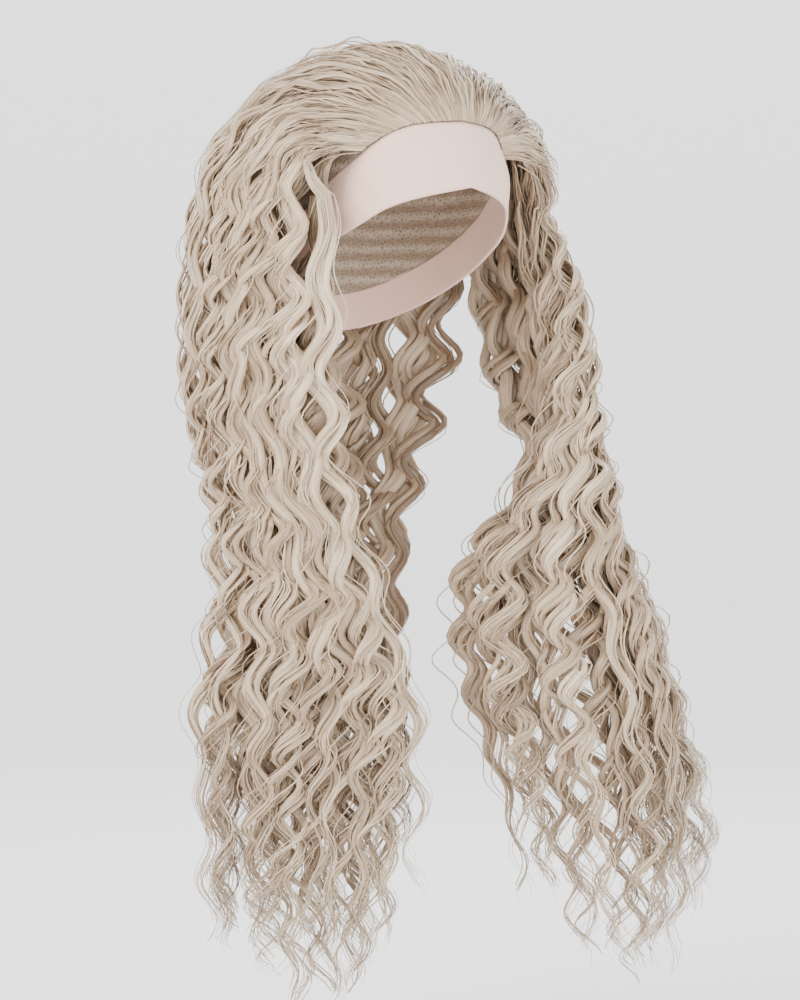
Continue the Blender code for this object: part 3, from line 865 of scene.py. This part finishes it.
def net_material():
    """The cap's net: fine open cells drawn in relief, with rows of wefts round it."""
    material, nodes, links = new_material("cap_net")
    shader = nodes["Principled BSDF"]
    shader.inputs["Roughness"].default_value = 0.85
    shader.inputs["Specular IOR Level"].default_value = 0.25
    place = nodes.new("ShaderNodeTexCoord")
    cells = nodes.new("ShaderNodeTexVoronoi")
    cells.feature = "DISTANCE_TO_EDGE"
    cells.inputs["Scale"].default_value = 420.0
    links.new(place.outputs["Object"], cells.inputs["Vector"])
    wefts = nodes.new("ShaderNodeTexWave")
    wefts.wave_type = "BANDS"
    wefts.bands_direction = "Z"
    wefts.inputs["Scale"].default_value = 28.0
    wefts.inputs["Distortion"].default_value = 0.6
    links.new(place.outputs["Object"], wefts.inputs["Vector"])
    height = maths(nodes, links, "MULTIPLY", cells.outputs["Distance"], 2.0)
    mixed = maths(nodes, links, "MULTIPLY", wefts.outputs["Fac"], 0.6)
    mixed = maths(nodes, links, "ADD", mixed, height)
    painted = ramp(nodes, NET_COLOURS)
    links.new(mixed, painted.inputs["Fac"])
    links.new(painted.outputs["Color"], shader.inputs["Base Color"])
    bump = nodes.new("ShaderNodeBump")
    bump.inputs["Strength"].default_value = 0.6
    bump.inputs["Distance"].default_value = 0.0008
    bump.invert = True
    links.new(mixed, bump.inputs["Height"])
    links.new(bump.outputs["Normal"], shader.inputs["Normal"])
    return material


def backdrop_material():
    material, nodes, links = new_material("studio_paper")
    shader = nodes["Principled BSDF"]
    shader.inputs["Roughness"].default_value = 0.95
    shader.inputs["Specular IOR Level"].default_value = 0.1
    shader.inputs["Base Color"].default_value = (0.90, 0.90, 0.90, 1.0)
    shader.inputs["Emission Color"].default_value = (1.0, 1.0, 1.0, 1.0)
    shader.inputs["Emission Strength"].default_value = 0.55
    return material


# The headband


BAND_TURNS = 288
BAND_LEVELS = 18
BAND_HEM = 0.0035


def band_relief(turn, rise):
    """Puckers that fan from the temples, and faint broad ripples round the band, all fading out at
    both edges.
    """
    away = (turn + 180.0) % 360.0 - 180.0
    side = np.abs(away)
    near = np.exp(-(((side - 52.0) / 17.0) ** 2))
    slant = (side - 52.0) / 11.0 - rise * 1.6
    folds = 0.0015 * near * (0.5 + 0.5 * np.sin(slant * 3.6 + np.sign(away) * 0.7))
    small = 0.0003 * near * np.sin(slant * 9.0 + 1.3)
    wide = 0.00035 * (0.5 + 0.5 * np.sin(np.radians(turn) * 5.0 + rise * 3.0))
    return (folds + small + wide) * np.sin(math.pi * rise) ** 0.6


def headband_piece():
    turns = np.linspace(0.0, 360.0, BAND_TURNS, endpoint=False)[:, None]
    rises = np.linspace(0.0, 1.0, BAND_LEVELS + 1)[None, :]
    low, high = band_edges(turns)
    height = high - low
    level = low + height * rises
    relief = band_relief(turns, rises)
    from_edge = np.minimum(rises, 1 - rises) * height
    hem = 0.00045 * np.exp(-(((from_edge - BAND_HEM) / 0.0011) ** 2))
    outer = head_point(turns, level, CLOTH_WALL + relief - hem * 0.9 + 0.0002)
    inner = head_point(turns, level, np.maximum(relief * 0.6, 0.0))
    points = np.concatenate((outer, inner[:, ::-1]), axis=1)
    ring = points.shape[1]
    points = points.reshape(-1, 3)
    faces = []
    for segment in range(BAND_TURNS):
        following = (segment + 1) % BAND_TURNS
        for index in range(ring):
            step = (index + 1) % ring
            faces.append((
                segment * ring + index,
                following * ring + index,
                following * ring + step,
                segment * ring + step,
            ))
    piece = new_mesh_object("headband_cloth", points, faces)
    mesh = piece.data
    layer = mesh.uv_layers.new(name="cloth_map")
    corners = np.empty(len(mesh.loops), np.int32)
    mesh.loops.foreach_get("vertex_index", corners)
    segment = corners // ring
    step = corners % ring
    rise = np.where(step <= BAND_LEVELS, step, 2 * BAND_LEVELS + 1 - step) / BAND_LEVELS
    polygon = np.arange(len(corners)) // 4
    wrapped = (polygon // ring == BAND_TURNS - 1) & (segment == 0)
    around = np.where(wrapped, BAND_TURNS, segment) / BAND_TURNS
    length = 2 * math.pi * math.sqrt((HEAD_HALF_WIDTH**2 + HEAD_HALF_DEPTH**2) / 2)
    uv = np.stack((around * length, rise * BAND_HEIGHT), axis=1)
    layer.data.foreach_set("uv", uv.astype(np.float32).ravel())
    mesh.shade_smooth()
    return piece, length


# Settings


class HairSettings(bpy.types.PropertyGroup):
    side_locks: bpy.props.IntProperty(
        name="Side Locks", description="Locks in each mass over a shoulder", default=44, min=6, max=60
    )
    back_locks: bpy.props.IntProperty(
        name="Back Locks", description="Locks in the mass behind", default=27, min=6, max=60
    )
    clump_width: bpy.props.FloatProperty(
        name="Clump Width", description="Width of a lock's broad strands", default=0.0074,
        unit="LENGTH",
    )
    clump_flatness: bpy.props.FloatProperty(
        name="Clump Flatness", description="Thickness of a broad strand over its width",
        default=0.42, subtype="FACTOR",
    )
    fine_strands: bpy.props.IntProperty(
        name="Fine Strands", description="Fine strands in each mass over a shoulder", default=255,
        min=10, max=300,
    )
    fine_width: bpy.props.FloatProperty(
        name="Fine Width", description="Width of a fine strand", default=0.0012, unit="LENGTH"
    )
    root_strands: bpy.props.IntProperty(
        name="Root Strands", description="Fine strands combed back from the band", default=400
    )


class BandSettings(bpy.types.PropertyGroup):
    colour: bpy.props.FloatVectorProperty(
        name="Colour", description="Colour of the headband cloth", default=(0.88, 0.585, 0.470),
        subtype="COLOR", size=3, min=0.0, max=1.0,
    )
    stitches: bpy.props.FloatProperty(
        name="Stitches", description="Scale of the stitch pattern over a metre", default=240.0
    )


class StudioSettings(bpy.types.PropertyGroup):
    floor_drop: bpy.props.FloatProperty(
        name="Floor Drop", description="Gap from the longest tips to the floor", default=0.05,
        unit="LENGTH",
    )
    key_power: bpy.props.FloatProperty(
        name="Key Power", description="Power of the main light in watts", default=78.0
    )
    sky_strength: bpy.props.FloatProperty(
        name="Sky Strength", description="Strength of the light from all round", default=0.95
    )


def dress(piece, slot, *nodes):
    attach(piece, "root")
    if nodes:
        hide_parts(*nodes)


class HALFWIG_OT_headband(bpy.types.Operator):
    """Make the stretch headband with its puckers and hems"""

    bl_idname = "halfwig.headband"
    bl_label = "Make Headband"

    def execute(self, context):
        settings = context.scene.halfwig_band
        piece, length = headband_piece()
        material = knit_material("blush_jersey", tuple(settings.colour), settings.stitches)
        piece.data.materials.append(material)
        dress(piece, "band_cloth", "headband")
        return {"FINISHED"}


class HALFWIG_OT_cap(bpy.types.Operator):
    """Give the cap its net"""

    bl_idname = "halfwig.cap"
    bl_label = "Finish Cap"

    def execute(self, context):
        cap = bpy.data.objects["wig_cap"]
        material = net_material()
        cap.data.materials.clear()
        cap.data.materials.append(material)
        return {"FINISHED"}


def make_mass(context, fall, lock_count, fine_share, sides):
    settings = context.scene.halfwig_hair
    surface = Surface(fall)
    locks = make_locks(fall, lock_count, fall.seed)
    clumps = clump_strands(locks, surface, settings, fall.seed + 1)
    material = hair_material(fall.name + "_clump_fibre", len(clumps.points), CLUMP_STREAKS)
    piece = sweep_strands(clumps, fall.name + "_clumps", sides, settings.clump_flatness, material)
    dress(piece, "hair", fall.name, "crown_hair")
    count = int(settings.fine_strands * fine_share)
    strands = fine_strands(locks, surface, settings, count, fall.seed + 2)
    material = hair_material(fall.name + "_fine_fibre", count, FINE_STREAKS)
    piece = sweep_strands(strands, fall.name + "_strands", 3, 1.0, material)
    dress(piece, "hair", fall.name, "crown_hair")


class HALFWIG_OT_right_hair(bpy.types.Operator):
    """Lay the hair that falls over the wearer's right shoulder"""

    bl_idname = "halfwig.right_hair"
    bl_label = "Make Right Hair"

    def execute(self, context):
        make_mass(context, RIGHT, context.scene.halfwig_hair.side_locks, 1.0, 6)
        return {"FINISHED"}


class HALFWIG_OT_left_hair(bpy.types.Operator):
    """Lay the hair that falls over the wearer's left shoulder"""

    bl_idname = "halfwig.left_hair"
    bl_label = "Make Left Hair"

    def execute(self, context):
        make_mass(context, LEFT, context.scene.halfwig_hair.side_locks, 1.0, 6)
        return {"FINISHED"}


class HALFWIG_OT_back_hair(bpy.types.Operator):
    """Lay the hair that falls behind"""

    bl_idname = "halfwig.back_hair"
    bl_label = "Make Back Hair"

    def execute(self, context):
        make_mass(context, BACK, context.scene.halfwig_hair.back_locks, BACK_FINE_SHARE, 5)
        return {"FINISHED"}


class HALFWIG_OT_roots(bpy.types.Operator):
    """Lay the fine hair that is combed back from the band's upper edge"""

    bl_idname = "halfwig.roots"
    bl_label = "Make Roots"

    def execute(self, context):
        settings = context.scene.halfwig_hair
        rng = np.random.default_rng(51)
        surfaces = {fall.name: Surface(fall) for fall in FALLS}
        strands = Strands()
        for index in range(settings.root_strands):
            lock = (index + rng.uniform(0.0, 1.0)) / settings.root_strands * LOCK_COUNT
            fall = next(f for f in FALLS if lock <= f.first_lock + len(f.tips))
            root = Lock(fall, 0, rng)
            root.place = (lock - fall.first_lock) / len(fall.tips)
            root.tip_place = root.place
            root.depth = rng.uniform(-0.12, 0.30)
            root.end = rng.uniform(-0.70, -0.30)
            member = Member(0.0, 0.0, 0.0, rng.uniform(0.3, 0.9), 0.0, rng.uniform(0.0, 0.0012))
            points, facing, gone = lay_strand(surfaces[fall.name], root, member, ROOT_STEPS)
            radii = strand_width(gone, 0.00055 * rng.uniform(0.6, 1.4), 0.9, 0.2)
            strands.add(points, radii, facing, rng.uniform(0.2, 1.0))
        material = hair_material("root_fibre", len(strands.points), FINE_STREAKS)
        piece = sweep_strands(strands, "hairline_roots", 3, 1.0, material)
        dress(piece, "hair", "crown_hair")
        return {"FINISHED"}


def backdrop_piece(level):
    """A round sweep of pale paper: a floor that curves up into a wall all round."""
    profile = [(0.0, 0.0), (1.2, 0.0), (3.0, 0.0)]
    for step in range(1, 13):
        angle = math.radians(90.0 * step / 12)
        profile.append((3.0 + 1.6 * math.sin(angle), 1.6 - 1.6 * math.cos(angle)))
    profile.append((4.6, 3.4))
    sides = 96
    points = [(0.0, 0.0, level)]
    for radius, height in profile[1:]:
        for side in range(sides):
            angle = 2 * math.pi * side / sides
            points.append((radius * math.cos(angle), radius * math.sin(angle), level + height))
    faces = []
    for side in range(sides):
        following = (side + 1) % sides
        faces.append((0, 1 + side, 1 + following))
        for ring in range(len(profile) - 2):
            here = 1 + ring * sides
            there = here + sides
            faces.append((here + side, there + side, there + following, here + following))
    piece = new_mesh_object("studio_backdrop", points, faces)
    piece.data.shade_smooth()
    piece.data.materials.append(backdrop_material())
    return piece


def add_light(name, place, target, size, power, colour):
    data = bpy.data.lights.new(name, "AREA")
    data.shape = "DISK"
    data.size = size
    data.energy = power
    data.color = colour
    lamp = bpy.data.objects.new(name, data)
    lamp.location = place
    way = np.array(target) - np.array(place)
    lamp.rotation_euler = Vector(way).to_track_quat("-Z", "Y").to_euler()
    bpy.context.scene.collection.objects.link(lamp)


class HALFWIG_OT_studio(bpy.types.Operator):
    """Set the camera, the soft lights and the pale backdrop"""

    bl_idname = "halfwig.studio"
    bl_label = "Set Studio"

    def execute(self, context):
        settings = context.scene.halfwig_studio
        turn = math.radians(VIEW_TURN)
        towards = np.array((math.sin(turn), -math.cos(turn), 0.0))
        right = np.array((math.cos(turn), math.sin(turn), 0.0))
        centre = right * VIEW_CENTRE_ACROSS + np.array((0.0, 0.0, VIEW_CENTRE_LEVEL))
        data = bpy.data.cameras.new("camera")
        data.sensor_width = SENSOR_WIDTH
        data.lens = SENSOR_WIDTH * VIEW_DISTANCE / VIEW_HEIGHT
        data.clip_end = 50.0
        camera = bpy.data.objects.new("camera", data)
        camera.location = centre + towards * VIEW_DISTANCE
        camera.rotation_euler = (math.pi / 2, 0.0, turn)
        context.scene.collection.objects.link(camera)
        context.scene.camera = camera

        floor = backdrop_piece(CAD_BOX[0][2] - settings.floor_drop)
        middle = (0.0, 0.0, -0.25)
        key_place = tuple(towards * 1.7 - right * 1.3 + np.array((0.0, 0.0, 1.1)))
        add_light("key", key_place, middle, 1.3, settings.key_power, (1.0, 0.985, 0.96))
        fill_place = tuple(towards * 1.9 + right * 1.5 + np.array((0.0, 0.0, 0.3)))
        add_light("fill", fill_place, middle, 1.6, settings.key_power * 0.35, (0.96, 0.98, 1.0))
        rim_place = tuple(-towards * 1.7 + right * 0.4 + np.array((0.0, 0.0, 1.5)))
        add_light("rim", rim_place, middle, 1.2, settings.key_power * 0.55, (1.0, 1.0, 1.0))
        world = bpy.data.worlds.new("studio_sky")
        world.use_nodes = True
        sky = world.node_tree.nodes["Background"]
        sky.inputs["Color"].default_value = (0.95, 0.97, 1.0, 1.0)
        sky.inputs["Strength"].default_value = settings.sky_strength
        context.scene.world = world
        return {"FINISHED"}


class HALFWIG_PT_panel(bpy.types.Panel):
    """Lists the wig's pieces and their settings"""

    bl_idname = "HALFWIG_PT_panel"
    bl_label = "Half Wig"
    bl_space_type = "VIEW_3D"
    bl_region_type = "UI"
    bl_category = "Half Wig"

    def draw(self, context):
        layout = self.layout
        for group in ("halfwig_hair", "halfwig_band", "halfwig_studio"):
            settings = getattr(context.scene, group)
            box = layout.box()
            for name in settings.__annotations__:
                box.prop(settings, name)
        for operator in OPERATORS:
            layout.operator(operator.bl_idname)


SETTINGS = (
    ("halfwig_hair", HairSettings),
    ("halfwig_band", BandSettings),
    ("halfwig_studio", StudioSettings),
)
OPERATORS = (
    HALFWIG_OT_studio,
    HALFWIG_OT_headband,
    HALFWIG_OT_cap,
    HALFWIG_OT_right_hair,
    HALFWIG_OT_left_hair,
    HALFWIG_OT_back_hair,
    HALFWIG_OT_roots,
)


def register():
    for name, group in SETTINGS:
        bpy.utils.register_class(group)
        setattr(bpy.types.Scene, name, bpy.props.PointerProperty(type=group))
    for operator in OPERATORS:
        bpy.utils.register_class(operator)
    bpy.utils.register_class(HALFWIG_PT_panel)


def unregister():
    bpy.utils.unregister_class(HALFWIG_PT_panel)
    for operator in reversed(OPERATORS):
        bpy.utils.unregister_class(operator)
    for name, group in reversed(SETTINGS):
        delattr(bpy.types.Scene, name)
        bpy.utils.unregister_class(group)


def main():
    register()
    bpy.ops.halfwig.studio()
    bpy.ops.halfwig.headband()
    bpy.ops.halfwig.cap()
    bpy.ops.halfwig.right_hair()
    bpy.ops.halfwig.left_hair()
    bpy.ops.halfwig.back_hair()
    bpy.ops.halfwig.roots()


if __name__ == "__main__":
    main()
